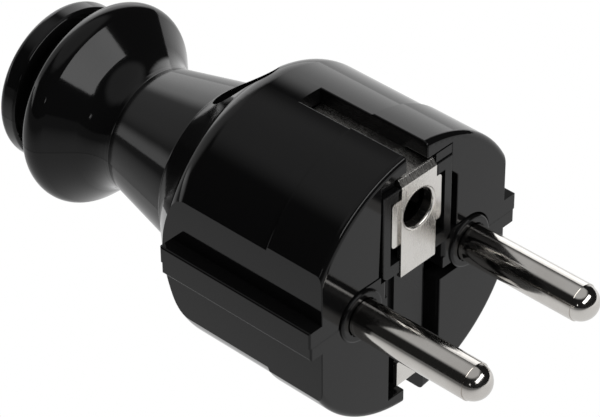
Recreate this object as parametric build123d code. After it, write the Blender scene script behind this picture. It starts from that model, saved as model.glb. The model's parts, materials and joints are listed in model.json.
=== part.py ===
from build123d import *
from math import asin, cos, hypot, radians, sin, tan
import os

# Rewireable earthed plug: two half shells round two pins, an earth carrier and a cord clamp.
# X runs forward along the pins, Y to the left, Z up towards the earth hole.
# The origin lies on the front face, midway between the pins. All sizes are in millimetres.

# Pins
pin_diameter = 4.8
pin_length = 19.3
pin_spacing = 19.0
pin_tip_height = 2.1
pin_tip_shoulder = 0.12
pin_head_length = 10.4
pin_head_width = 7.2
pin_head_height = 7.4
pin_head_edge = 0.6
wire_bore = 3.4
wire_bore_depth = 8.2
pin_relief = 0.3
pin_relief_end_x = 0.5

# Outer form, turned about X
nose_step = 0.25
nose_length = 8.4
nose_edge = 0.8
body_radius = 18.2
shoulder_x = -23.15
shoulder_angle = 41.3
shoulder_round = 4.0
shoulder_foot_round = 0.6
neck_break_round = 0.8
neck_front_radius = 11.2
neck_rear_radius = 8.55
neck_rear_x = -42.6
neck_rear_round = 5.0
neck_foot_drop = 0.1
bulge_setback = 9.0
bulge_radius = 13.5
bulge_tip_round = 2.4
bulge_front_angle = 42.6
bulge_rear_angle = 20.0
bulge_rear_round = 1.0
groove_setback = 10.65
groove_radius = 8.3
groove_slant = 0.2
groove_round = 0.5
flange_setback = 14.4
flange_radius = 10.65
flange_slant = 0.2
flange_edge = 1.1
rear_setback = 17.6
flat_offset = 16.0

# Side ribs
rib_reach = 18.05
rib_lower_setback = 0.2
rib_above = 2.3
rib_below = 1.8
rib_rear_x = -24.0
rib_edge = 0.25

# Walls and inside of the shells
front_wall = 2.4
side_wall = 2.3
neck_wall = 1.9
cord_bore_radius = 4.3
cord_mouth_flare = 1.2
cord_mouth_depth = 1.3
bulge_hollow_radius = 10.4
bulge_hollow_front = 1.6
bulge_hollow_rear = 0.2
hollow_corner = 0.5
hollow_round = 1.5
hollow_rear_round = 0.8
hollow_shoulder_round = 3.0
hollow_shoulder_lead = 0.8
hollow_neck_run = 3.6
groove_wall = 1.2
web_thickness = 1.5
web_overlap = 0.4
neck_web_setback = 1.2
seam_gap = 0.04
fit = 0.1
loose_fit = 0.2
body_peg_radius = 0.75
body_peg_lead = 1.2
grip_peg_radius = 0.7
grip_peg_inset = 1.55
peg_height = 1.8
peg_hole_depth = 2.2
pin_rib_half = 3.2
pin_rib_front = 0.4
pin_rib_rear = 2.0
wire_gap = 0.6
cradle_gap = 0.5

# Pin bosses on the lower shell
boss_radius = 3.45
boss_proud = 0.4
boss_depth = 4.2
boss_block_inner = 4.9
boss_block_under = 1.5
boss_gap = 0.2
boss_edge = 0.35
boss_hole_edge = 0.1
boss_block_edge = 0.55

# Openings in the front of the shells
window_half = 6.05
window_taper = 0.5
window_taper_top_z = 12.5
window_wide_half = 7.2
window_step_z = 11.0
window_step_round = 0.5
window_top_z = 16.2
front_edge_round = 0.12
lobe_half = 4.45
lobe_top_z = -2.95
lip_half = 1.75
lip_z = 16.1
slot_rear_x = -16.65
slot_edge_round = 0.2

# Earth contacts, folded from sheet
sheet = 0.6
contact_width = 6.0
contact_proud = 0.35
contact_bottom_z = 1.9
fold_z = 14.8
fold_back = 0.65
fold_top_z = 15.65
ramp_length = 3.7
contact_rear_x = -17.0
contact_leg_end_z = 10.6
contact_fold_radius = 1.0
plate_edge_round = 0.25
plate_top_round = 0.4
lower_edge_round = 0.5
lower_top_round = 0.6
ramp_round = 2.0
wing_half = 4.25
wing_bottom_z = 6.5
wing_top_z = 12.85
wing_setback = 0.33
wing_corner_round = 0.5
earth_hole_z = 10.35
earth_hole_diameter = 5.0
earth_hole_collar = 1.1
earth_hole_round = 0.35
lower_contact_x = 0.0
lower_contact_top_z = -11.3

# Earth pin clip and bridge
clip_sheet = 0.5
clip_gap = 4.5
clip_mouth = 5.8
clip_height = 3.8
clip_front_x = -2.2
clip_waist_x = -6.5
clip_back_run = 2.0
clip_back_half = 2.4
clip_bow_round = 3.0
clip_corner_round = 0.7
bridge_sheet = 0.8
bridge_end_z = 13.8
bridge_width = 6.0
bridge_corner_round = 1.5
tab_z = 1.0
tab_end_x = -23.2
tab_post_bore = 5.5
tab_post_floor_z = -9.5
tab_socket_wall = 0.7
tab_socket_depth = 1.4
rivet_z = 12.4
rivet_radius = 1.2
rivet_head_radius = 1.9
rivet_head_height = 0.8
rivet_head_chamfer = 0.3
rivet_head_round = 0.6

# Contact carrier
carrier_face_x = 0.2
ring_half = 5.93
ring_bottom_z = 2.6
ring_top_z = 14.75
ring_inner_half = 4.67
ring_inner_bottom_z = 4.4
ring_inner_top_z = 13.2
ring_depth = 1.8
ring_wall = 1.2
tongue_bottom_z = 14.9
tongue_top_z = 16.1
tongue_long = 0.15
tongue_short = 0.8
ring_corner_round = 1.2
ring_edge_round = 0.15
carrier_half = 4.9
carrier_floor_z = 1.5
carrier_hollow_half = 3.4
carrier_hollow_bottom_z = 6.4
carrier_hollow_top_z = 14.45
leg_half = 2.5
leg_face_x = -1.1
leg_flange_half = 3.3
leg_flange_x = -1.6
leg_wall = 1.3
keeper_half = 7.8
keeper_thickness = 1.3
keeper_bottom_z = 4.2
keeper_top_z = 13.4
foot_bottom_z = -14.2
foot_top_z = -4.6
ledge_inner = 3.5
ledge_outer = 4.15
ledge_bottom_z = 7.2
ledge_top_z = 12.2
leg_hollow_x = -5.0
leg_hollow_top_z = 5.0
plate_notch_depth = 0.55
top_notch_depth = 1.15

# Screws, nut and clamp
housing_screw_setback = 3.8
housing_screw_radius = 1.9
housing_head_radius = 3.5
housing_head_height = 2.5
counterbore_radius = 4.05
counterbore_floor_z = 6.6
housing_boss_radius = 3.4
housing_tower_wall = 1.3
housing_tower_floor = 1.5
nut_across_flats = 7.0
nut_thickness = 3.2
nut_top_z = -6.2
screw_past_nut = 0.6
terminal_screw_radius = 1.75
terminal_head_radius = 2.9
terminal_head_height = 2.1
terminal_lift = 0.6
terminal_screw_end_z = 0.3
earth_screw_x = -20.5
earth_screw_length = 6.2
washer_half = 3.0
washer_thickness = 0.5
washer_trim = 0.4
washer_corner_round = 0.8
earth_head_radius = 2.6
slot_width = 0.9
slot_depth = 1.0
head_edge_share = 0.2
tip_chamfer_share = 0.25
clamp_lead = 4.1
clamp_length = 4.6
clamp_half_width = 6.5
clamp_bottom_z = 0.2
clamp_thickness = 2.0
clamp_screw_y = 4.8
clamp_screw_radius = 1.25
clamp_head_radius = 1.65
clamp_head_height = 1.5
clamp_screw_length = 7.4
clamp_boss_radius = 1.7
clamp_hole_end_z = -5.8
clamp_edge_round = 1.2
clamp_corner_round = 0.8
clamp_tooth_x = 1.2
clamp_tooth_half = 0.4
clamp_tooth_width = 5.2
clamp_tooth_height = 0.9

# Sizes that follow from the ones above
pin_radius = pin_diameter / 2
pin_y = pin_spacing / 2
pin_seat_x = -boss_depth - fit
pin_rear_x = pin_seat_x - pin_head_length
nose_radius = body_radius + nose_step
bulge_x = neck_rear_x - bulge_setback
groove_front_x = neck_rear_x - groove_setback
flange_front_x = neck_rear_x - flange_setback
rear_x = neck_rear_x - rear_setback
neck_web_x = neck_rear_x - neck_web_setback
clamp_x = neck_rear_x + clamp_lead
housing_screw_x = shoulder_x - housing_screw_setback
housing_tower_radius = counterbore_radius + housing_tower_wall
front_edge_reach = flat_offset + nose_edge
slot_edge_reach = body_radius - 2 * slot_edge_round
neck_front_x = shoulder_x - (body_radius - neck_front_radius) / tan(radians(shoulder_angle))
cavity_radius = body_radius - side_wall
contact_half = contact_width / 2
contact_z = lip_z - seam_gap
carrier_top_z = contact_z - sheet - seam_gap
carrier_rear_x = contact_rear_x + sheet + seam_gap
far = 60.0


# A block from its two corners
def block(x0, x1, y0, y1, z0, z1):
    size = (abs(x1 - x0), abs(y1 - y0), abs(z1 - z0))
    return Pos((x0 + x1) / 2, (y0 + y1) / 2, (z0 + z1) / 2) * Box(*size)


# A block that lies evenly about the middle plane
def mid_block(x0, x1, half, z0, z1):
    return block(x0, x1, -half, half, z0, z1)


# Round bars along each axis
def bar_x(radius, x0, x1, y=0.0, z=0.0):
    return Pos((x0 + x1) / 2, y, z) * Rot(0, 90, 0) * Cylinder(radius, abs(x1 - x0))


def bar_z(radius, z0, z1, x=0.0, y=0.0):
    return Pos(x, y, (z0 + z1) / 2) * Cylinder(radius, abs(z1 - z0))


# A closed outline in the XZ plane, turned about X
def turned(points, rounds):
    outline = FilletPolyline(*points, radius=rounds) + Line(points[-1], points[0])
    return revolve(Plane.XZ * make_face(outline), Axis.X)


# The peak where the two straight flanks of the grip's bulge would meet
def bulge_peak():
    front = radians(bulge_front_angle)
    rear = radians(bulge_rear_angle)
    across = bulge_tip_round * (cos(front) - cos(rear)) / sin(front + rear)
    rise = (bulge_tip_round + across * sin(front)) / cos(front)
    return bulge_x - across, bulge_radius - bulge_tip_round + rise


def outer_profile():
    step = nose_radius - body_radius
    peak_x, peak_r = bulge_peak()
    foot_x = peak_x + (peak_r - neck_rear_radius) / tan(radians(bulge_front_angle))
    groove_r = peak_r - (peak_x - groove_front_x) * tan(radians(bulge_rear_angle))
    points = [
        (0, 0),
        (0, nose_radius),
        (-nose_length, nose_radius),
        (-nose_length - step, body_radius),
        (shoulder_x, body_radius),
        (neck_front_x, neck_front_radius),
        (neck_rear_x, neck_rear_radius),
        (foot_x, neck_rear_radius - neck_foot_drop),
        (peak_x, peak_r),
        (groove_front_x, groove_r),
        (groove_front_x - groove_slant, groove_radius),
        (flange_front_x, groove_radius),
        (flange_front_x - flange_slant, flange_radius),
        (rear_x, flange_radius),
        (rear_x, 0),
    ]
    rounds = [nose_edge, 0, 0, shoulder_round, shoulder_foot_round, neck_break_round]
    rounds += [neck_rear_round, bulge_tip_round, bulge_rear_round]
    rounds += [groove_round, groove_round, groove_round, flange_edge]
    return points, rounds


def inner_profile():
    slope = tan(radians(shoulder_angle))
    turn_x = shoulder_x + hollow_shoulder_lead
    neck_r = neck_front_radius - neck_wall
    points = [
        (-front_wall, 0),
        (-front_wall, cavity_radius),
        (turn_x, cavity_radius),
        (turn_x - (cavity_radius - neck_r) / slope, neck_r),
        (neck_rear_x, neck_rear_radius - neck_wall),
        (neck_rear_x - hollow_neck_run, neck_rear_radius - neck_wall),
        (bulge_x + bulge_hollow_front, bulge_hollow_radius),
        (bulge_x - bulge_hollow_rear, bulge_hollow_radius),
        (groove_front_x + groove_wall, cord_bore_radius),
        (rear_x - 1, cord_bore_radius),
        (rear_x - 1, 0),
    ]
    rounds = [hollow_corner, hollow_shoulder_round, hollow_round, hollow_corner]
    rounds += [hollow_round, hollow_round, hollow_rear_round, hollow_corner, 0]
    return points, rounds


# The closed outer form with its side flats and ribs
def outer_form():
    form = turned(*outer_profile())
    form = form & mid_block(rear_x - 1, 1, flat_offset, -far, far)
    for side in (1, -1):
        inner = side * (flat_offset - 1)
        lower_reach = rib_reach - rib_lower_setback
        for reach, z in ((rib_reach, rib_above), (lower_reach, -rib_below)):
            rib = block(rib_rear_x, 0, inner, side * reach, 0, z)
            edges = rib.faces().sort_by(Axis.Y)[-1 if side > 0 else 0].edges().sort_by(Axis.Z)
            form = form + fillet(edges[1:] if z > 0 else edges[:-1], rib_edge)
    return form


# The hollow inside both shells, narrowed beside the flats
def cavity():
    hollow = turned(*inner_profile())
    return hollow & mid_block(rear_x - 2, 1, flat_offset - side_wall, -far, far)


# Where the hollow under the lips ends, behind the strip and the bridge
def slot_end_x():
    return contact_rear_x - bridge_sheet - rivet_head_height


# The front outline of one pin boss: a block towards the middle with a round outer end
def boss_region(side, grow, x0, x1, under):
    y = side * pin_y
    inner = side * (boss_block_inner - grow)
    region = block(x0, x1, inner, y, -under, boss_radius + grow)
    return region + bar_x(boss_radius + grow, x0, x1, y)


# Webs across the grip that hold the cord on the middle line
def grip_webs():
    webs = None
    for x in (bulge_x, neck_web_x):
        radius = bulge_hollow_radius + web_overlap
        ring = bar_x(radius, x - web_thickness / 2, x + web_thickness / 2)
        webs = ring if webs is None else webs + ring
    return webs & turned(*outer_profile())


def cord_bore():
    mouth = Plane.XZ * make_face(
        Polyline(
            (rear_x - seam_gap, 0),
            (rear_x - seam_gap, cord_bore_radius + cord_mouth_flare),
            (rear_x + cord_mouth_depth, cord_bore_radius),
            (rear_x + cord_mouth_depth, 0),
            close=True,
        )
    )
    return bar_x(cord_bore_radius, neck_rear_x + 2, rear_x - 1) + revolve(mouth, Axis.X)


# Places of the pegs that line the two shells up
def peg_places():
    side_y = flat_offset - side_wall / 2
    grip_y = bulge_radius - grip_peg_inset
    return [(shoulder_x + body_peg_lead, side_y, body_peg_radius), (bulge_x, grip_y, grip_peg_radius)]


def pegs(grow, z0, z1):
    group = None
    for x, y, radius in peg_places():
        for side in (1, -1):
            peg = bar_z(radius + grow, z0, z1, x, side * y)
            group = peg if group is None else group + peg
    return group


# Where the ribs above and below the pin heads start
def pin_rib_places():
    return pin_seat_x - pin_rib_front, pin_rear_x + pin_rib_rear


# Rounds the openings' edges in a shell's front face
def soften_front(shell, z0, z1):
    rims = []
    for face in shell.faces().filter_by(Axis.X).filter_by_position(Axis.X, -seam_gap, seam_gap):
        for edge in face.edges():
            middle = edge @ 0.5
            if hypot(middle.Y, middle.Z) < front_edge_reach and z0 < middle.Z < z1:
                rims.append(edge)
    return fillet(rims, front_edge_round)


# Rounds the long edges of the slot over the upper strip
def soften_slot(shell):
    edges = []
    for edge in shell.edges().filter_by(lambda e: e.length > lip_half):
        middle = edge @ 0.5
        if middle.Z > slot_edge_reach and abs(abs(middle.Y) - lip_half) < seam_gap:
            edges.append(edge)
    return fillet(edges, slot_edge_round)


# The upper window: its right side tapers, its left side widens below a rounded step
def front_window():
    outline = Polyline(
        (-window_half, window_top_z),
        (-window_half, window_taper_top_z),
        (-window_half - window_taper, -1),
        (window_wide_half, -1),
        (window_wide_half, window_step_z),
        (window_half, window_step_z + window_wide_half - window_half),
        (window_half, window_top_z),
        close=True,
    )
    window = extrude(Plane.YZ * make_face(outline), front_wall + 1, both=True)
    step = window.edges().filter_by(Axis.X).filter_by_position(Axis.Y, 0, far)
    return fillet(step.filter_by_position(Axis.Z, 0, window_top_z - 1), window_step_round)


def upper_shell():
    shell = outer_form() - cavity() + grip_webs()
    # Column round the housing screw, wider round the counterbore
    column = bar_z(housing_boss_radius, 0, far, housing_screw_x)
    tower_z = counterbore_floor_z - housing_tower_floor
    column = column + bar_z(housing_tower_radius, tower_z, far, housing_screw_x)
    shell = shell + (column & turned(*outer_profile()))
    # Ribs that hold the pin heads down
    rib_z = pin_head_height / 2 + fit
    for side in (1, -1):
        low_y = side * (pin_y - pin_rib_half)
        high_y = side * (pin_y + pin_rib_half)
        for x in pin_rib_places():
            rib = block(x, x - web_thickness, low_y, high_y, rib_z, far)
            shell = shell + (rib & cavity())
    # Front window for the carrier, with the lips over the earth strip
    shell = shell - front_window()
    shell = shell - mid_block(1, slot_end_x(), contact_half + fit, -1, lip_z)
    shell = shell - mid_block(1, slot_rear_x, lip_half, lip_z - 1, far)
    shell = shell - cord_bore()
    # Screw hole and counterbore
    shell = shell - bar_z(counterbore_radius, counterbore_floor_z, far, housing_screw_x)
    shell = shell - bar_z(housing_screw_radius + loose_fit, -1, far, housing_screw_x)
    shell = shell - pegs(fit, -1, peg_hole_depth)
    shell = shell & block(1, rear_x - 1, -far, far, seam_gap, far)
    for side in (1, -1):
        shell = shell - boss_region(side, boss_gap, 1, -boss_depth - 1, 0)
    return soften_slot(soften_front(shell, 2 * seam_gap, far))


# Hollow post that carries the earth terminal's tab
def tab_post():
    front = bridge_front() - bridge_sheet - rivet_head_height - loose_fit
    post = mid_block(front, tab_end_x, bridge_width / 2, -far, tab_z - seam_gap)
    return post - bar_z(tab_post_bore / 2, tab_post_floor_z, far, earth_screw_x)


def lower_shell():
    shell = outer_form() - cavity() + grip_webs()
    # Column round the housing screw, wider round the nut's pocket
    column = bar_z(housing_boss_radius, -far, 0, housing_screw_x)
    column = column + bar_z(housing_tower_radius, -far, nut_top_z + housing_tower_floor, housing_screw_x)
    column = column & turned(*outer_profile())
    inside = tab_post()
    # Cradles under the pin heads, and a stop behind each with a gap for the wire
    for side in (1, -1):
        inner = side * (carrier_half + cradle_gap)
        outer = side * far
        for x in pin_rib_places():
            inside = inside + block(x, x - web_thickness, inner, outer, -far, -pin_head_height / 2)
        stop_x = pin_rear_x - fit
        stop = block(stop_x, stop_x - web_thickness, inner, outer, -far, -seam_gap)
        inside = inside + (stop - bar_x(wire_bore / 2 + wire_gap, 0, -far, side * pin_y))
        inside = inside + bar_z(clamp_boss_radius, -far, clamp_bottom_z, clamp_x, side * clamp_screw_y)
    shell = shell + column + (inside & cavity())
    # Front opening, wider beside the pin bosses, and the slot with its lips below
    deep = -front_wall - 1
    shell = shell - mid_block(1, deep, lobe_half, -lip_z, 1)
    shell = shell - mid_block(1, deep, boss_block_inner, lobe_top_z, 1)
    shell = shell - mid_block(1, slot_end_x(), contact_half + fit, -lip_z, 2 - lip_z)
    shell = shell - mid_block(1, slot_rear_x, lip_half, -far, 1 - lip_z)
    ring_notch = mid_block(1, -ring_depth - 0.5, ring_half + fit, ring_bottom_z - fit, far)
    for side in (1, -1):
        groove = block(1, deep, side * lobe_half, side * (pin_y - 1), lobe_top_z, -boss_block_under)
        shell = shell - (groove - bar_x(boss_radius, 2, -far, side * pin_y))
    shell = shell - cord_bore()
    shell = shell & block(1, rear_x - 1, -far, far, -far, 0)
    for side in (1, -1):
        region = boss_region(side, 0, 0, -boss_depth, boss_block_under)
        region = fillet(region.edges().filter_by(Axis.Z).sort_by(Axis.X)[-1], boss_block_edge)
        shell = shell + (region - ring_notch)
        boss = bar_x(boss_radius, boss_proud, -boss_depth, side * pin_y)
        shell = shell + fillet(boss.edges().sort_by(Axis.X)[-1], boss_edge)
        hole_radius = pin_radius + fit / 2
        shell = shell - bar_x(hole_radius, 2, -boss_depth - 1, side * pin_y)
        sink = Rot(0, 90, 0) * Cone(hole_radius, hole_radius + boss_hole_edge, boss_hole_edge)
        shell = shell - Pos(boss_proud - boss_hole_edge / 2, side * pin_y, 0) * sink
        boss = bar_z(clamp_boss_radius, -1, clamp_bottom_z, clamp_x, side * clamp_screw_y)
        hole = bar_z(clamp_screw_radius, clamp_hole_end_z, far, clamp_x, side * clamp_screw_y)
        shell = shell + boss - hole
    # Nut pocket from below, screw hole and pegs
    pocket_radius = (nut_across_flats / 2 + fit) / cos(radians(30))
    pocket = Plane.XY * RegularPolygon(pocket_radius, 6)
    shell = shell - Pos(housing_screw_x, 0, nut_top_z) * extrude(pocket, -far)
    shell = shell - bar_z(housing_screw_radius + loose_fit, -far, 1, housing_screw_x)
    return soften_front(shell + pegs(0, -1, peg_height), -far, -boss_radius)


# Screwdriver slot across a head whose top lies at z
def driver_slot(x, y, z, radius):
    half = slot_width / 2
    return block(x - radius - 1, x + radius + 1, y - half, y + half, z - slot_depth, z + 1)


# A cheese-head screw that points down: the head's underside lies at z
def screw(x, y, z, shank_radius, length, head_radius, head_height):
    head = bar_z(head_radius, z, z + head_height, x, y)
    head = fillet(head.edges().sort_by(Axis.Z)[-1], head_height * head_edge_share)
    body = head + bar_z(shank_radius, z - length, z + 0.1, x, y)
    body = chamfer(body.edges().sort_by(Axis.Z)[0], shank_radius * tip_chamfer_share)
    return body - driver_slot(x, y, z + head_height, head_radius)


def pin(side):
    y = side * pin_y
    cap = pin_radius - pin_tip_shoulder
    dome_radius = (cap**2 + pin_tip_height**2) / (2 * pin_tip_height)
    body_end = pin_length - pin_tip_height
    half_angle = asin(cap / dome_radius) / 2
    dome_x = pin_length - dome_radius
    dome_middle = (dome_x + dome_radius * cos(half_angle), dome_radius * sin(half_angle))
    start_x = pin_seat_x - 1
    root_radius = pin_radius - pin_relief
    outline = Polyline(
        (pin_length, 0),
        (start_x, 0),
        (start_x, root_radius),
        (pin_relief_end_x, root_radius),
        (pin_relief_end_x, pin_radius),
        (body_end, pin_radius),
        (body_end, cap),
    )
    outline += ThreePointArc((body_end, cap), dome_middle, (pin_length, 0))
    shank = Pos(0, y, 0) * revolve(Plane.XZ * make_face(outline), Axis.X)
    half = pin_head_width / 2
    top = pin_head_height / 2
    head = block(pin_seat_x, pin_rear_x, y - half, y + half, -top, top)
    head = chamfer(head.edges().filter_by(Axis.X), pin_head_edge)
    body = shank + head
    body = body - bar_x(wire_bore / 2, pin_rear_x - 1, pin_rear_x + wire_bore_depth, y)
    screw_x = pin_rear_x + pin_head_length / 2
    return body - bar_z(terminal_screw_radius + seam_gap, 0, far, screw_x, y)


def terminal_screw(side):
    seat_z = pin_head_height / 2 + terminal_lift
    length = seat_z - terminal_screw_end_z
    x = pin_rear_x + pin_head_length / 2
    sizes = (terminal_screw_radius, length, terminal_head_radius, terminal_head_height)
    return screw(x, side * pin_y, seat_z, *sizes)


# The corners of a path moved to its left by the sheet's thickness
def inner_corners(points, thickness):
    sides = []
    for (x0, z0), (x1, z1) in zip(points, points[1:]):
        length = hypot(x1 - x0, z1 - z0)
        sides.append(((z0 - z1) / length, (x1 - x0) / length))
    corners = []
    for i, (x, z) in enumerate(points):
        ax, az = sides[max(i - 1, 0)]
        bx, bz = sides[min(i, len(sides) - 1)]
        share = thickness / (1 + ax * bx + az * bz)
        corners.append((x + (ax + bx) * share, z + (az + bz) * share))
    return corners


# A strip of sheet folded along points in the XZ plane, its outer face on the points
def folded_strip(points, rounds, thickness, half):
    inner = inner_corners(points, thickness)
    outline = FilletPolyline(*points, radius=rounds) + Line(points[-1], inner[-1])
    outline += FilletPolyline(*inner, radius=[max(radius - thickness, 0) for radius in rounds])
    outline += Line(inner[0], points[0])
    return extrude(Plane.XZ * make_face(outline), half, both=True)


def contact_path(front_x, end_z):
    return [
        (front_x, end_z),
        (front_x, fold_z),
        (front_x - fold_back, fold_top_z),
        (front_x - fold_back - ramp_length, contact_z),
        (contact_rear_x, contact_z),
        (contact_rear_x, contact_leg_end_z),
    ]


def upper_earth_contact():
    points = contact_path(contact_proud, contact_bottom_z)
    rounds = [plate_edge_round, plate_top_round, ramp_round, contact_fold_radius]
    strip = folded_strip(points, rounds, sheet, contact_half)
    wing_x = contact_proud - wing_setback
    wings = mid_block(wing_x, wing_x - sheet, wing_half, wing_bottom_z, wing_top_z)
    wings = fillet(wings.edges().filter_by(Axis.X), wing_corner_round)
    hole_radius = earth_hole_diameter / 2
    collar = bar_x(hole_radius + sheet, wing_x, -earth_hole_collar, 0, earth_hole_z)
    contact = strip + wings + collar
    contact = contact - bar_x(hole_radius, 1, -earth_hole_collar - 1, 0, earth_hole_z)
    rims = contact.edges().filter_by(GeomType.CIRCLE).filter_by(lambda e: e.radius == hole_radius)
    contact = fillet(rims.sort_by(Axis.X)[-1], earth_hole_round)
    rivet_hole = bar_x(rivet_radius, contact_rear_x - 1, contact_rear_x + 2, 0, rivet_z)
    return contact - rivet_hole


def lower_earth_contact():
    points = contact_path(lower_contact_x, -lower_contact_top_z)
    rounds = [lower_edge_round, lower_top_round, ramp_round, contact_fold_radius]
    strip = folded_strip(points, rounds, sheet, contact_half)
    strip = strip - bar_x(rivet_radius, contact_rear_x - 1, contact_rear_x + 2, 0, rivet_z)
    return mirror(strip, Plane.XY)


# Spring clip behind the earth hole: two bowed leaves on a riveted back
def earth_pin_clip():
    back_x = contact_rear_x + sheet
    back_half = clip_mouth / 2
    points = [
        (clip_front_x, back_half),
        (clip_waist_x, clip_gap / 2),
        (back_x + clip_back_run, back_half),
        (back_x, back_half),
        (back_x, -back_half),
        (back_x + clip_back_run, -back_half),
        (clip_waist_x, -clip_gap / 2),
        (clip_front_x, -back_half),
    ]
    rounds = [clip_bow_round, clip_bow_round, clip_corner_round]
    path = FilletPolyline(*points, radius=rounds + rounds[::-1])
    face = make_face(path.wire().offset_2d(clip_sheet, side=Side.LEFT))
    spring = Pos(0, 0, earth_hole_z - clip_height / 2) * extrude(face, clip_height)
    top_z = rivet_z + rivet_radius + clip_sheet
    back = mid_block(back_x, back_x + clip_sheet, clip_back_half, earth_hole_z, top_z)
    return spring + back - bar_x(rivet_radius, back_x - 1, back_x + 2, 0, rivet_z)


def bridge_front():
    return contact_rear_x - seam_gap


def earth_bridge():
    front = bridge_front()
    half = bridge_width / 2
    strip = mid_block(front, front - bridge_sheet, half, -bridge_end_z, bridge_end_z)
    strip = fillet(strip.edges().filter_by(Axis.X), bridge_corner_round)
    tab = mid_block(front, tab_end_x, half, tab_z, tab_z + bridge_sheet)
    tab = fillet(tab.edges().filter_by(Axis.Z).sort_by(Axis.X)[:2], bridge_corner_round)
    socket_radius = terminal_screw_radius + tab_socket_wall
    socket = bar_z(socket_radius, tab_z - tab_socket_depth, tab_z + seam_gap, earth_screw_x)
    bridge = strip + tab + socket
    bridge = bridge - bar_z(terminal_screw_radius + seam_gap, -far, far, earth_screw_x)
    for z in (rivet_z, -rivet_z):
        bridge = bridge - bar_x(rivet_radius, front + 1, front - 2, 0, z)
    return bridge


# Rivet through the contact's rear leg and the bridge, and the clip's back at the top
def earth_rivet(z, inner_x):
    outer_x = bridge_front() - bridge_sheet
    shank = bar_x(rivet_radius - seam_gap, inner_x, outer_x, 0, z)
    inner = bar_x(rivet_head_radius, inner_x, inner_x + rivet_head_height, 0, z)
    inner = chamfer(inner.edges().sort_by(Axis.X)[-1], rivet_head_chamfer)
    outer = bar_x(rivet_head_radius, outer_x, outer_x - rivet_head_height, 0, z)
    outer = fillet(outer.edges().sort_by(Axis.X)[0], rivet_head_round)
    return shank + inner + outer


def earth_wire_washer():
    z = tab_z + bridge_sheet + seam_gap
    plate = block(
        earth_screw_x - washer_half,
        earth_screw_x + washer_half - washer_trim,
        -washer_half,
        washer_half,
        z,
        z + washer_thickness,
    )
    plate = fillet(plate.edges().filter_by(Axis.Z), washer_corner_round)
    return plate - bar_z(terminal_screw_radius + loose_fit, -far, far, earth_screw_x)


def earth_terminal_screw():
    z = tab_z + bridge_sheet + washer_thickness + 2 * seam_gap
    sizes = (terminal_screw_radius, earth_screw_length, earth_head_radius, terminal_head_height)
    return screw(earth_screw_x, 0, z, *sizes)


def contact_carrier():
    front = carrier_face_x
    back = carrier_rear_x
    # Front ring round the plate, with its two upper tongues
    ring = mid_block(front, -ring_depth, ring_half, ring_bottom_z, ring_top_z)
    ring = fillet(ring.edges().filter_by(Axis.X).sort_by(Axis.Z)[:2], ring_corner_round)
    ring = fillet(ring.faces().sort_by(Axis.X)[-1].edges(), ring_edge_round)
    for side, setback in ((1, tongue_long), (-1, tongue_short)):
        x0 = front - setback
        y0 = side * (contact_half + loose_fit)
        ring = ring + block(x0, -ring_depth - 1, y0, side * ring_half, tongue_bottom_z, tongue_top_z)
    # Box round the earth pin's way, and the keeper that lies behind the shells' front wall
    box = mid_block(-ring_depth + 0.5, back, carrier_half, carrier_floor_z, carrier_top_z)
    keeper_x = -front_wall - fit
    keeper_rear_x = keeper_x - keeper_thickness
    keeper = mid_block(keeper_x, keeper_rear_x, keeper_half, keeper_bottom_z, keeper_top_z)
    room = bar_x(cavity_radius - loose_fit, -front_wall, -far)
    box = box & (room + block(1, -front_wall, -far, far, -far, far))
    body = ring + box + keeper
    # Leg down to the lower contact, with flanges along its sides
    leg = mid_block(leg_face_x, back, leg_half, -carrier_top_z, carrier_floor_z + 1)
    flange = mid_block(leg_flange_x, back, leg_flange_half, -carrier_top_z, carrier_floor_z + 1)
    foot = mid_block(keeper_x, keeper_rear_x, boss_block_inner, foot_bottom_z, foot_top_z)
    body = body + leg + flange + foot
    # Hollows: round the wings, along the earth pin, and up the leg from behind
    ring_hollow = (ring_inner_half, ring_inner_bottom_z, ring_inner_top_z)
    body = body - mid_block(front + 1, -ring_depth - ring_wall, *ring_hollow)
    bottom = carrier_hollow_bottom_z
    body = body - mid_block(1, back - 1, carrier_hollow_half, bottom, carrier_hollow_top_z)
    leg_hollow = (leg_flange_half - leg_wall, -carrier_hollow_top_z, leg_hollow_top_z)
    body = body - mid_block(leg_hollow_x, back - 1, *leg_hollow)
    # Notch that the contact plate passes through, and its open top
    body = body - mid_block(1, front - plate_notch_depth, contact_half + fit, -1, far)
    body = body - mid_block(1, -top_notch_depth, contact_half + fit, fold_z - 1, far)
    ledge_x = contact_proud - wing_setback - sheet - seam_gap
    ledge_rear_x = -ring_depth - ring_wall - fit
    for side in (1, -1):
        inner = side * ledge_inner
        outer = side * ledge_outer
        body = body + block(ledge_x, ledge_rear_x, inner, outer, ledge_bottom_z, ledge_top_z)
    # Room for the strips where they ramp to their front folds
    ramp_z = fold_top_z - sheet - fit
    ramp_x = lower_contact_x - fold_back - ramp_length
    relief = mid_block(1, ramp_x, contact_half + fit, ramp_z, far)
    # Rebates for the inside of the strips' rear folds
    fold = contact_fold_radius - sheet + seam_gap
    rebate = mid_block(back - 1, back + fold, contact_half + fit, carrier_top_z - fold, far)
    for cut in (relief, rebate):
        body = body - cut - mirror(cut, Plane.XY)
    return body


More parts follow.
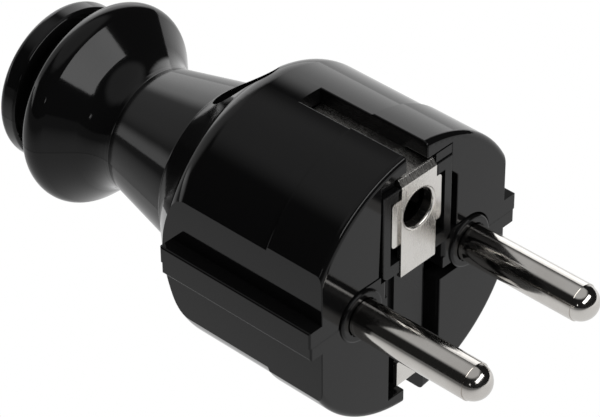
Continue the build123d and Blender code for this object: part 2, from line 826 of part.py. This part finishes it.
def cord_clamp():
    z0 = clamp_bottom_z + seam_gap
    half = clamp_length / 2
    bar = mid_block(clamp_x - half, clamp_x + half, clamp_half_width, z0, z0 + clamp_thickness)
    bar = fillet(bar.edges().filter_by(Axis.X).sort_by(Axis.Z)[-2:], clamp_edge_round)
    bar = fillet(bar.edges().filter_by(Axis.Z), clamp_corner_round)
    # Two teeth below that bite into the cord's sheath
    for x in (clamp_x - clamp_tooth_x, clamp_x + clamp_tooth_x):
        x0 = x - clamp_tooth_half
        x1 = x + clamp_tooth_half
        bar = bar + mid_block(x0, x1, clamp_tooth_width / 2, z0 - clamp_tooth_height, z0 + 1)
    for side in (1, -1):
        bar = bar - bar_z(clamp_screw_radius + loose_fit, -far, far, clamp_x, side * clamp_screw_y)
    return bar


def clamp_screw(side):
    z = clamp_bottom_z + clamp_thickness + 2 * seam_gap
    sizes = (clamp_screw_radius - seam_gap, clamp_screw_length, clamp_head_radius, clamp_head_height)
    return screw(clamp_x, side * clamp_screw_y, z, *sizes)


def housing_screw():
    z = counterbore_floor_z + seam_gap
    length = z - nut_top_z + nut_thickness + screw_past_nut
    sizes = (housing_screw_radius, length, housing_head_radius, housing_head_height)
    return screw(housing_screw_x, 0, z, *sizes)


def housing_nut():
    blank = Plane.XY * RegularPolygon(nut_across_flats / 2 / cos(radians(30)), 6)
    nut = Pos(housing_screw_x, 0, nut_top_z - seam_gap) * extrude(blank, -nut_thickness)
    return nut - bar_z(housing_screw_radius + seam_gap, -far, far, housing_screw_x)


sub_parts = {
    "upper_shell": upper_shell(),
    "lower_shell": lower_shell(),
    "contact_carrier": contact_carrier(),
    "pin_left": pin(1),
    "pin_right": pin(-1),
    "terminal_screw_left": terminal_screw(1),
    "terminal_screw_right": terminal_screw(-1),
    "upper_earth_contact": upper_earth_contact(),
    "lower_earth_contact": lower_earth_contact(),
    "earth_pin_clip": earth_pin_clip(),
    "earth_bridge": earth_bridge(),
    "earth_rivet_upper": earth_rivet(rivet_z, contact_rear_x + sheet + clip_sheet + seam_gap),
    "earth_rivet_lower": earth_rivet(-rivet_z, contact_rear_x + sheet + seam_gap),
    "earth_wire_washer": earth_wire_washer(),
    "earth_terminal_screw": earth_terminal_screw(),
    "cord_clamp": cord_clamp(),
    "cord_clamp_screw_left": clamp_screw(1),
    "cord_clamp_screw_right": clamp_screw(-1),
    "housing_screw": housing_screw(),
    "housing_nut": housing_nut(),
}

os.makedirs("parts", exist_ok=True)
for name, solid in sub_parts.items():
    export_step(solid, f"parts/{name}.step")
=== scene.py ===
import json
import math
import bpy
from mathutils import Matrix, Vector


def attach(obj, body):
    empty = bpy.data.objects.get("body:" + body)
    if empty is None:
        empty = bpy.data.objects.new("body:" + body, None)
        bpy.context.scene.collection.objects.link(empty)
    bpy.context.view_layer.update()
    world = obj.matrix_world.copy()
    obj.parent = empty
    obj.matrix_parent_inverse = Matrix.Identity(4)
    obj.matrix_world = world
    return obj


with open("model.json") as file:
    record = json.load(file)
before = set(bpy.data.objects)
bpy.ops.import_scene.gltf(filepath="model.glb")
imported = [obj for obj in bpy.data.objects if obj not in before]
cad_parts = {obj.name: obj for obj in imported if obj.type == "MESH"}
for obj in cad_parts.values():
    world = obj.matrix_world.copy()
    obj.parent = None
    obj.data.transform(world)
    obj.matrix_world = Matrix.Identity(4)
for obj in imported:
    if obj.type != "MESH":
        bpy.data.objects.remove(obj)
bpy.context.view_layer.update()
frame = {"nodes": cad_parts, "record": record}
nodes = frame["nodes"]
print("frame loaded:", len(nodes), "nodes")

mm = 0.001


# Shared helpers for node trees
def addNode(tree, kind, **settings):
    node = tree.nodes.new(kind)
    for key, value in settings.items():
        setattr(node, key, value)
    return node


def newGroup(name, treeKind, inputs, outputs):
    tree = bpy.data.node_groups.new(name, treeKind)
    for side, sockets in (("INPUT", inputs), ("OUTPUT", outputs)):
        for label, kind in sockets.items():
            tree.interface.new_socket(name=label, in_out=side, socket_type="NodeSocket" + kind)
    return tree, addNode(tree, "NodeGroupInput"), addNode(tree, "NodeGroupOutput")


# A number is set on the input, and another node's output is linked to it
def feed(tree, socket, value):
    if isinstance(value, (int, float)):
        socket.default_value = value
    else:
        tree.links.new(value, socket)


def addNoise(tree, vector, scale, detail, rough):
    node = addNode(tree, "ShaderNodeTexNoise")
    tree.links.new(vector, node.inputs["Vector"])
    for key, value in (("Scale", scale), ("Detail", detail), ("Roughness", rough)):
        feed(tree, node.inputs[key], value)
    return node.outputs["Fac"]


# Takes the value from one span to another; smooth eases both ends
def addMapRange(tree, value, fromSpan, toSpan, smooth=False):
    node = addNode(tree, "ShaderNodeMapRange")
    if smooth:
        node.interpolation_type = "SMOOTHSTEP"
    for key, end in zip(("From Min", "From Max", "To Min", "To Max"), (*fromSpan, *toSpan)):
        feed(tree, node.inputs[key], end)
    tree.links.new(value, node.inputs["Value"])
    return node.outputs["Result"]


def addMath(tree, operation, first, second):
    node = addNode(tree, "ShaderNodeMath", operation=operation)
    for socket, value in zip(node.inputs, (first, second)):
        feed(tree, socket, value)
    return node.outputs["Value"]


# Moulded skin: slow waviness of the wall, a fine grain, and a few dull patches
skinPattern = {
    "waveDetail": 1.0, "grainDetail": 2.0, "rough": 0.5,
    "patchScale": 55.0, "patchDetail": 4.0, "patchRough": 0.6, "patchSpan": (0.35, 0.7),
}


def buildMouldedSkin():
    tree, gin, gout = newGroup(
        "mouldedSkin", "ShaderNodeTree",
        {"waveScale": "Float", "grainScale": "Float", "grainShare": "Float",
         "roughLow": "Float", "roughHigh": "Float"},
        {"Height": "Float", "Roughness": "Float"})
    look = skinPattern
    place = addNode(tree, "ShaderNodeTexCoord").outputs["Object"]
    wave = addNoise(tree, place, gin.outputs["waveScale"], look["waveDetail"], look["rough"])
    grain = addNoise(tree, place, gin.outputs["grainScale"], look["grainDetail"], look["rough"])
    mixed = addNode(tree, "ShaderNodeMix", data_type="FLOAT")
    tree.links.new(gin.outputs["grainShare"], mixed.inputs["Factor"])
    tree.links.new(wave, mixed.inputs["A"])
    tree.links.new(grain, mixed.inputs["B"])
    tree.links.new(mixed.outputs["Result"], gout.inputs["Height"])
    patch = addNoise(tree, place, look["patchScale"], look["patchDetail"], look["patchRough"])
    roughSpan = (gin.outputs["roughLow"], gin.outputs["roughHigh"])
    tree.links.new(addMapRange(tree, patch, look["patchSpan"], roughSpan), gout.inputs["Roughness"])
    return tree


# Drawn or rolled metal: long fine lines along one direction, with a little tarnish
linePattern = {
    "lineDetail": 3.0, "lineRough": 0.6,
    "patchScale": 160.0, "patchDetail": 4.0, "patchRough": 0.6,
    "roughSpan": (0.1, 0.45), "tarnishSpan": (0.45, 0.75),
}


def buildDrawnLines():
    tree, gin, gout = newGroup(
        "drawnLines", "ShaderNodeTree",
        {"stretch": "Vector", "lineScale": "Float", "roughLow": "Float", "roughHigh": "Float",
         "bright": "Color", "dull": "Color"},
        {"Color": "Color", "Height": "Float", "Roughness": "Float"})
    look = linePattern
    place = addNode(tree, "ShaderNodeTexCoord").outputs["Object"]
    scaled = addNode(tree, "ShaderNodeVectorMath", operation="MULTIPLY")
    tree.links.new(place, scaled.inputs[0])
    tree.links.new(gin.outputs["stretch"], scaled.inputs[1])
    lines = addNoise(tree, scaled.outputs["Vector"], gin.outputs["lineScale"],
                     look["lineDetail"], look["lineRough"])
    tree.links.new(lines, gout.inputs["Height"])
    patch = addNoise(tree, place, look["patchScale"], look["patchDetail"], look["patchRough"])
    both = addMath(tree, "MULTIPLY", lines, patch)
    roughSpan = (gin.outputs["roughLow"], gin.outputs["roughHigh"])
    tree.links.new(addMapRange(tree, both, look["roughSpan"], roughSpan), gout.inputs["Roughness"])
    tint = addNode(tree, "ShaderNodeMix", data_type="RGBA")
    tree.links.new(addMapRange(tree, patch, look["tarnishSpan"], (0.0, 1.0)), tint.inputs["Factor"])
    tree.links.new(gin.outputs["bright"], tint.inputs["A"])
    tree.links.new(gin.outputs["dull"], tint.inputs["B"])
    tree.links.new(tint.outputs["Result"], gout.inputs["Color"])
    return tree


mouldedSkin = buildMouldedSkin()
drawnLines = buildDrawnLines()


def addGroup(mat, group, values):
    node = addNode(mat.node_tree, "ShaderNodeGroup", node_tree=group)
    for key, value in values.items():
        node.inputs[key].default_value = value
    return node


def addBump(mat, group, principled, distance, strength):
    bump = addNode(mat.node_tree, "ShaderNodeBump")
    bump.inputs["Distance"].default_value = distance
    bump.inputs["Strength"].default_value = strength
    mat.node_tree.links.new(group.outputs["Height"], bump.inputs["Height"])
    mat.node_tree.links.new(bump.outputs["Normal"], principled.inputs["Normal"])


def startMaterial(name):
    mat = bpy.data.materials.new(name)
    mat.use_nodes = True
    return mat, mat.node_tree.nodes["Principled BSDF"]


def plasticMaterial(name, look):
    mat, shader = startMaterial(name)
    group = addGroup(mat, mouldedSkin, look["skin"])
    mat.node_tree.links.new(group.outputs["Roughness"], shader.inputs["Roughness"])
    addBump(mat, group, shader, look["bumpDepth"], look["bumpStrength"])
    shader.inputs["Base Color"].default_value = (*look["color"], 1.0)
    shader.inputs["IOR"].default_value = look["ior"]
    shader.inputs["Specular IOR Level"].default_value = look["shine"]
    return mat


def metalMaterial(name, look):
    mat, shader = startMaterial(name)
    group = addGroup(mat, drawnLines, look["lines"])
    mat.node_tree.links.new(group.outputs["Color"], shader.inputs["Base Color"])
    mat.node_tree.links.new(group.outputs["Roughness"], shader.inputs["Roughness"])
    addBump(mat, group, shader, look["bumpDepth"], look["bumpStrength"])
    shader.inputs["Metallic"].default_value = 1.0
    return mat


# Colours, gloss and surface of each finish: bump depths are in metres,
# noise scales are per metre, so a larger one is finer
shellLook = {
    "color": (0.0065, 0.0064, 0.0066), "ior": 1.5, "shine": 0.24,
    "bumpDepth": 0.00002, "bumpStrength": 0.25,
    "skin": {"waveScale": 110.0, "grainScale": 2600.0, "grainShare": 0.08,
             "roughLow": 0.05, "roughHigh": 0.10},
}
carrierLook = {
    "color": (0.007, 0.007, 0.0072), "ior": 1.5, "shine": 0.24,
    "bumpDepth": 0.00002, "bumpStrength": 0.35,
    "skin": {"waveScale": 200.0, "grainScale": 3200.0, "grainShare": 0.2,
             "roughLow": 0.2, "roughHigh": 0.32},
}
clampLook = {
    "color": (0.02, 0.02, 0.021), "ior": 1.5, "shine": 0.3,
    "bumpDepth": 0.00002, "bumpStrength": 0.5,
    "skin": {"waveScale": 260.0, "grainScale": 3600.0, "grainShare": 0.4,
             "roughLow": 0.4, "roughHigh": 0.55},
}
pinLook = {
    "bumpDepth": 0.000004, "bumpStrength": 0.25,
    "lines": {"stretch": (1.0, 0.15, 0.15), "lineScale": 4200.0, "roughLow": 0.08, "roughHigh": 0.16,
              "bright": (0.66, 0.64, 0.61, 1.0), "dull": (0.58, 0.55, 0.52, 1.0)},
}
contactLook = {
    "bumpDepth": 0.000004, "bumpStrength": 0.18,
    "lines": {"stretch": (0.3, 1.0, 0.12), "lineScale": 3800.0, "roughLow": 0.2, "roughHigh": 0.36,
              "bright": (0.72, 0.70, 0.67, 1.0), "dull": (0.6, 0.58, 0.55, 1.0)},
}
clipLook = {
    "bumpDepth": 0.000006, "bumpStrength": 0.3,
    "lines": {"stretch": (0.15, 1.0, 1.0), "lineScale": 3600.0, "roughLow": 0.25, "roughHigh": 0.4,
              "bright": (0.42, 0.40, 0.38, 1.0), "dull": (0.26, 0.24, 0.22, 1.0)},
}
brassLook = {
    "bumpDepth": 0.000006, "bumpStrength": 0.3,
    "lines": {"stretch": (1.0, 0.2, 0.2), "lineScale": 3600.0, "roughLow": 0.25, "roughHigh": 0.42,
              "bright": (0.72, 0.55, 0.27, 1.0), "dull": (0.5, 0.36, 0.16, 1.0)},
}
zincLook = {
    "bumpDepth": 0.000006, "bumpStrength": 0.35,
    "lines": {"stretch": (0.5, 0.5, 1.0), "lineScale": 3200.0, "roughLow": 0.28, "roughHigh": 0.45,
              "bright": (0.6, 0.61, 0.62, 1.0), "dull": (0.42, 0.43, 0.44, 1.0)},
}

finishes = {
    "shell_plastic": plasticMaterial("shellPlastic", shellLook),
    "carrier_plastic": plasticMaterial("carrierPlastic", carrierLook),
    "clamp_plastic": plasticMaterial("clampPlastic", clampLook),
    "pin_metal": metalMaterial("pinNickel", pinLook),
    "contact_steel": metalMaterial("contactStrip", contactLook),
    "spring_metal": metalMaterial("clipBronze", clipLook),
    "terminal_brass": metalMaterial("terminalBrass", brassLook),
    "screw_steel": metalMaterial("zincSteel", zincLook),
}
slotOf = {row["node"]: row["material_slot"] for row in frame["record"]["subparts"]}
for name, obj in nodes.items():
    for holder in obj.material_slots:
        holder.material = finishes[slotOf[name]]
print("materials placed")


# Screw threads: a small ridge swept along a helix round each screw's shank, sizes in mm
threadLook = {
    "stepsPerTurn": 30, "ridgeSides": 3,
    "kinds": {
        "housing": {"low": -9.3, "length": 12.0, "radius": 1.87, "pitch": 0.7, "depth": 0.2},
        "terminal": {"low": 0.9, "length": 3.2, "radius": 1.72, "pitch": 0.5, "depth": 0.15},
        "earth": {"low": -3.2, "length": 4.6, "radius": 1.72, "pitch": 0.5, "depth": 0.15},
        "clamp": {"low": -4.6, "length": 5.2, "radius": 1.18, "pitch": 0.8, "depth": 0.18},
    },
    "screws": {  # node: kind, and the axis's x and y
        "housing_screw": ("housing", -26.95, 0.0),
        "terminal_screw_left": ("terminal", -9.5, 9.5),
        "terminal_screw_right": ("terminal", -9.5, -9.5),
        "earth_terminal_screw": ("earth", -20.5, 0.0),
        "cord_clamp_screw_left": ("clamp", -38.5, 4.8),
        "cord_clamp_screw_right": ("clamp", -38.5, -4.8),
    },
}


def buildThreadTree(mat):
    tree, gin, gout = newGroup(
        "screwThread", "GeometryNodeTree",
        {"Geometry": "Geometry", "length": "Float", "radius": "Float", "pitch": "Float",
         "depth": "Float", "foot": "Vector"},
        {"Geometry": "Geometry"})
    helix = addNode(tree, "GeometryNodeCurveSpiral")
    helix.inputs["Resolution"].default_value = threadLook["stepsPerTurn"]
    turns = addMath(tree, "DIVIDE", gin.outputs["length"], gin.outputs["pitch"])
    tree.links.new(turns, helix.inputs["Rotations"])
    tree.links.new(gin.outputs["radius"], helix.inputs["Start Radius"])
    tree.links.new(gin.outputs["radius"], helix.inputs["End Radius"])
    tree.links.new(gin.outputs["length"], helix.inputs["Height"])
    upright = addNode(tree, "GeometryNodeSetCurveNormal", mode="Z_UP")
    tree.links.new(helix.outputs["Curve"], upright.inputs["Curve"])
    ridge = addNode(tree, "GeometryNodeCurvePrimitiveCircle")
    ridge.inputs["Resolution"].default_value = threadLook["ridgeSides"]
    tree.links.new(gin.outputs["depth"], ridge.inputs["Radius"])
    sweep = addNode(tree, "GeometryNodeCurveToMesh")
    sweep.inputs["Fill Caps"].default_value = True
    tree.links.new(upright.outputs["Curve"], sweep.inputs["Curve"])
    tree.links.new(ridge.outputs["Curve"], sweep.inputs["Profile Curve"])
    placed = addNode(tree, "GeometryNodeSetPosition")
    tree.links.new(sweep.outputs["Mesh"], placed.inputs["Geometry"])
    tree.links.new(gin.outputs["foot"], placed.inputs["Offset"])
    real = addNode(tree, "GeometryNodeRealizeInstances")
    tree.links.new(placed.outputs["Geometry"], real.inputs["Geometry"])
    coat = addNode(tree, "GeometryNodeSetMaterial")
    coat.inputs["Material"].default_value = mat
    tree.links.new(real.outputs["Geometry"], coat.inputs["Geometry"])
    tree.links.new(coat.outputs["Geometry"], gout.inputs["Geometry"])
    return tree


# Runs the tree on an object of one point and keeps the result as a plain mesh
def growPiece(name, tree, values):
    seed = bpy.data.meshes.new(name + "Seed")
    seed.from_pydata([(0.0, 0.0, 0.0)], [], [])
    holder = bpy.data.objects.new(name, seed)
    bpy.context.scene.collection.objects.link(holder)
    modifier = holder.modifiers.new("grow", "NODES")
    modifier.node_group = tree
    for item in tree.interface.items_tree:
        if item.in_out == "INPUT" and item.name in values:
            modifier[item.identifier] = values[item.name]
    graph = bpy.context.evaluated_depsgraph_get()
    mesh = bpy.data.meshes.new_from_object(holder.evaluated_get(graph))
    holder.modifiers.clear()
    holder.data = mesh
    return holder


def buildThreads():
    tree = buildThreadTree(finishes["screw_steel"])
    for node, (kind, axisX, axisY) in threadLook["screws"].items():
        sizes = threadLook["kinds"][kind]
        values = {key: sizes[key] * mm for key in ("length", "radius", "pitch", "depth")}
        values["foot"] = (axisX * mm, axisY * mm, sizes["low"] * mm)
        thread = growPiece(node + "_thread", tree, values)
        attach(thread, "root")
        print(thread.name, len(thread.data.polygons), "faces")


buildThreads()
print("threads placed")


# The floor looks white to the camera and lights the object, least from the camera's side.
# Its glow is set at three places, counted from the middle towards negative Y, in metres.
floorLook = {
    "height": -18.5 * mm, "size": 3.0, "cameraGlow": 1.0,
    "behind": -0.15, "behindGlow": 1.0, "middle": 0.012, "middleGlow": 0.78,
    "front": 0.11, "frontGlow": 0.16,
}


# One value for the camera, another for every other ray
def forCamera(tree, seen, other):
    path = addNode(tree, "ShaderNodeLightPath")
    mix = addNode(tree, "ShaderNodeMix", data_type="FLOAT")
    tree.links.new(path.outputs["Is Camera Ray"], mix.inputs["Factor"])
    tree.links.new(other, mix.inputs["A"])
    mix.inputs["B"].default_value = seen
    return mix.outputs["Result"]


def floorMaterial():
    look = floorLook
    mat = bpy.data.materials.new("paleFloor")
    mat.use_nodes = True
    tree = mat.node_tree
    tree.nodes.clear()
    split = addNode(tree, "ShaderNodeSeparateXYZ")
    place = addNode(tree, "ShaderNodeTexCoord")
    tree.links.new(place.outputs["Object"], split.inputs["Vector"])
    towards = addMath(tree, "MULTIPLY", split.outputs["Y"], -1.0)
    rear = addMapRange(tree, towards, (look["behind"], look["middle"]),
                       (look["behindGlow"], look["middleGlow"]), smooth=True)
    loss = addMapRange(tree, towards, (look["middle"], look["front"]),
                       (0.0, look["middleGlow"] - look["frontGlow"]), smooth=True)
    light = addNode(tree, "ShaderNodeEmission")
    glow = forCamera(tree, look["cameraGlow"], addMath(tree, "SUBTRACT", rear, loss))
    tree.links.new(glow, light.inputs["Strength"])
    side = addNode(tree, "ShaderNodeNewGeometry")  # seen from below, the floor is clear
    clear = addNode(tree, "ShaderNodeBsdfTransparent")
    either = addNode(tree, "ShaderNodeMixShader")
    tree.links.new(side.outputs["Backfacing"], either.inputs["Fac"])
    tree.links.new(light.outputs["Emission"], either.inputs[1])
    tree.links.new(clear.outputs["BSDF"], either.inputs[2])
    surface = addNode(tree, "ShaderNodeOutputMaterial")
    tree.links.new(either.outputs["Shader"], surface.inputs["Surface"])
    return mat


def buildFloor():
    half = floorLook["size"] / 2
    z = floorLook["height"]
    corners = [(-half, -half, z), (half, -half, z), (half, half, z), (-half, half, z)]
    mesh = bpy.data.meshes.new("floor")
    mesh.from_pydata(corners, [], [(0, 1, 2, 3)])
    mesh.materials.append(floorMaterial())
    floor = bpy.data.objects.new("floor", mesh)
    bpy.context.scene.collection.objects.link(floor)


def direction(azimuth, elevation):
    a = math.radians(azimuth)
    e = math.radians(elevation)
    return Vector((math.cos(e) * math.cos(a), math.cos(e) * math.sin(a), math.sin(e)))


# Soft round patches of light on the studio's walls, in degrees from +X and above the floor
roomLook = {
    "cameraGlow": 1.0, "base": 0.015,
    "patches": {  # azimuth, elevation, inner and outer radius, strength
        "backdrop": (140.0, 6.0, 24.0, 36.0, 1.65),
        "backdropLeft": (172.0, 14.0, 24.0, 38.0, 0.6),
        "ceiling": (-165.0, 82.0, 30.0, 44.0, 0.5),
        "farLeft": (-152.0, -8.0, 12.0, 22.0, 1.6),
    },
}


def buildRoom():
    world = bpy.data.worlds.new("studio")
    bpy.context.scene.world = world
    world.use_nodes = True
    tree = world.node_tree
    background = tree.nodes["Background"]
    background.inputs["Color"].default_value = (1.0, 1.0, 1.0, 1.0)
    place = addNode(tree, "ShaderNodeTexCoord")
    total = roomLook["base"]
    for azimuth, elevation, inner, outer, strength in roomLook["patches"].values():
        dot = addNode(tree, "ShaderNodeVectorMath", operation="DOT_PRODUCT")
        tree.links.new(place.outputs["Generated"], dot.inputs[0])
        dot.inputs[1].default_value = direction(azimuth, elevation)
        edge = (math.cos(math.radians(outer)), math.cos(math.radians(inner)))
        patch = addMapRange(tree, dot.outputs["Value"], edge, (0.0, strength), smooth=True)
        total = addMath(tree, "ADD", patch, total)
    seen = forCamera(tree, roomLook["cameraGlow"], total)
    tree.links.new(seen, background.inputs["Strength"])


# Soft boxes aimed at the grip's bulge: angles in degrees, sizes and distance in metres
lampLook = {
    "aim": (-52.0 * mm, 0.0, 0.0),
    "boxes": {
        "strip": {"azimuth": 0.0, "elevation": 41.0, "slant": 14.0, "distance": 1.0,
                  "width": 1.1, "height": 0.24, "glow": 4.5},
        "window": {"azimuth": -65.0, "elevation": 17.0, "slant": 0.0, "distance": 0.6,
                   "width": 0.03, "height": 0.05, "glow": 4.0},
    },
}


def buildLamps():
    for name, box in lampLook["boxes"].items():
        lamp = bpy.data.lights.new(name, "AREA")
        lamp.shape = "RECTANGLE"
        lamp.size = box["width"]
        lamp.size_y = box["height"]
        lamp.energy = box["glow"] * math.pi * box["width"] * box["height"]
        holder = bpy.data.objects.new(name, lamp)
        bpy.context.scene.collection.objects.link(holder)
        away = direction(box["azimuth"], box["elevation"])
        slant = Matrix.Rotation(math.radians(box["slant"]), 3, "Z")
        holder.rotation_euler = (away.to_track_quat("Z", "Y").to_matrix() @ slant).to_euler()
        holder.location = Vector(lampLook["aim"]) + away * box["distance"]


buildFloor()
buildRoom()
buildLamps()

# The camera's place and directions, as fitted to the photograph's pins and outline
cameraLook = {
    "place": (0.18273, -0.21293, 0.22517), "lens": 185.2, "clipStart": 0.01,
    "right": (0.7306, 0.6828, -0.0068),
    "up": (-0.4116, 0.4483, 0.7935),
    "back": (0.5449, -0.5769, 0.6085),
}


def placeCamera():
    scene = bpy.context.scene
    camera = bpy.data.objects.new("camera", bpy.data.cameras.new("camera"))
    scene.collection.objects.link(camera)
    camera.data.lens = cameraLook["lens"]
    camera.data.clip_start = cameraLook["clipStart"]
    rows = [Vector(cameraLook[key]).normalized() for key in ("right", "up", "back")]
    turn = Matrix(rows).transposed().to_4x4()
    camera.matrix_world = Matrix.Translation(cameraLook["place"]) @ turn
    scene.camera = camera
    scene.view_settings.view_transform = "Standard"


placeCamera()
print("stage, lights and camera placed")
